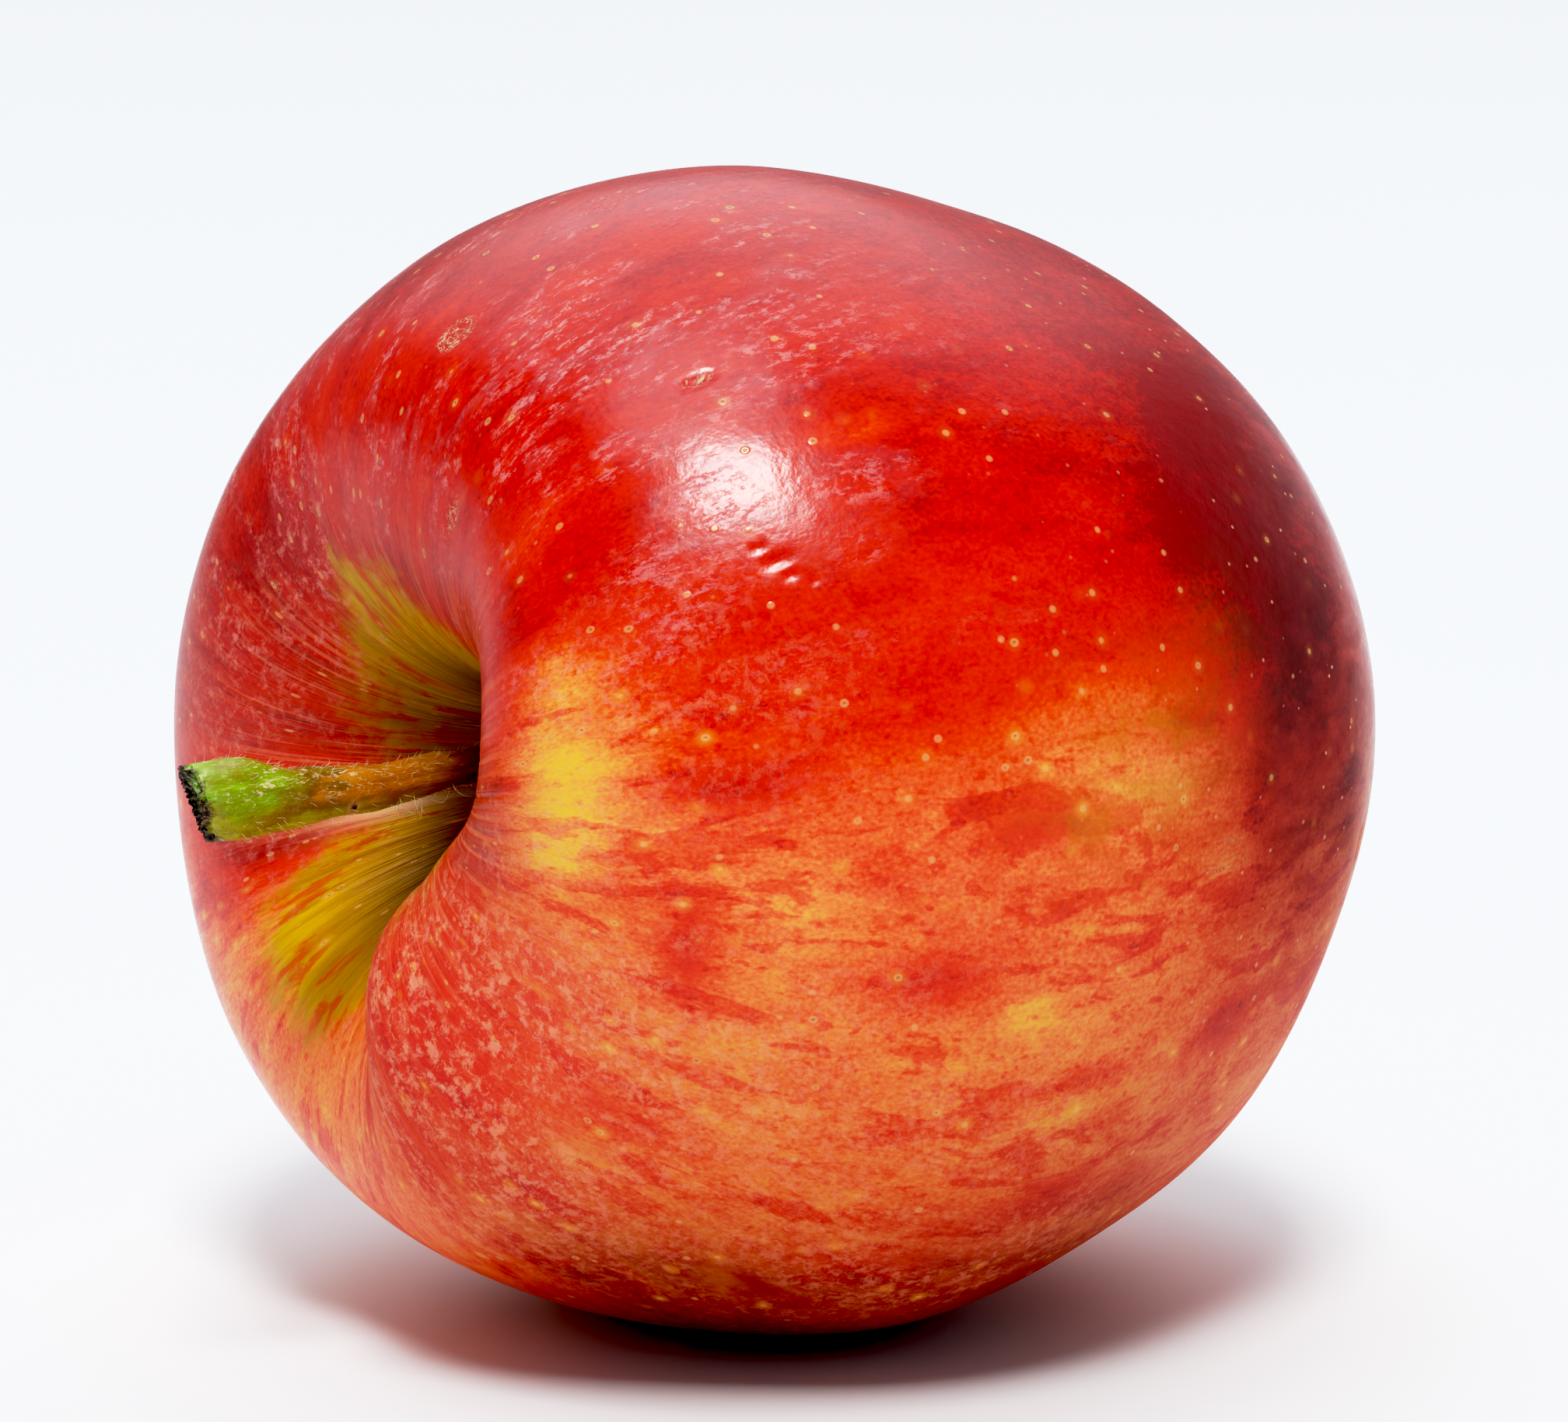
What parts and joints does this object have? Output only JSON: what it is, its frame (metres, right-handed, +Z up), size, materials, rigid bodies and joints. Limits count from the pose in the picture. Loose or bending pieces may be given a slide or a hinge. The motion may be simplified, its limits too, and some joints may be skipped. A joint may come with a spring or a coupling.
{
  "type": "red apple",
  "caption": "Whole ripe red apple with its stalk and dried calyx, lying on its side on a small flat spot.",
  "frame": {"origin": "middle of the flat spot that the apple lies on", "axes": "+Z up, away from the surface; -X towards the stalk end, along the apple's core; +Y across it"},
  "size_m": [0.0828, 0.0771, 0.0748],
  "materials": {
    "skin": null,
    "stalk": "green to olive-brown woody stalk with a fine down and a dark corky end",
    "dried_calyx": "dry, matt, brown leaf tissue"
  },
  "bodies": {
    "root": {"fruit": "skin", "stem": "stalk", "sepal_1": "dried_calyx", "sepal_2": "dried_calyx", "sepal_3": "dried_calyx", "sepal_4": "dried_calyx", "sepal_5": "dried_calyx", "stamens": "dried_calyx"}
  },
  "joints": []
}
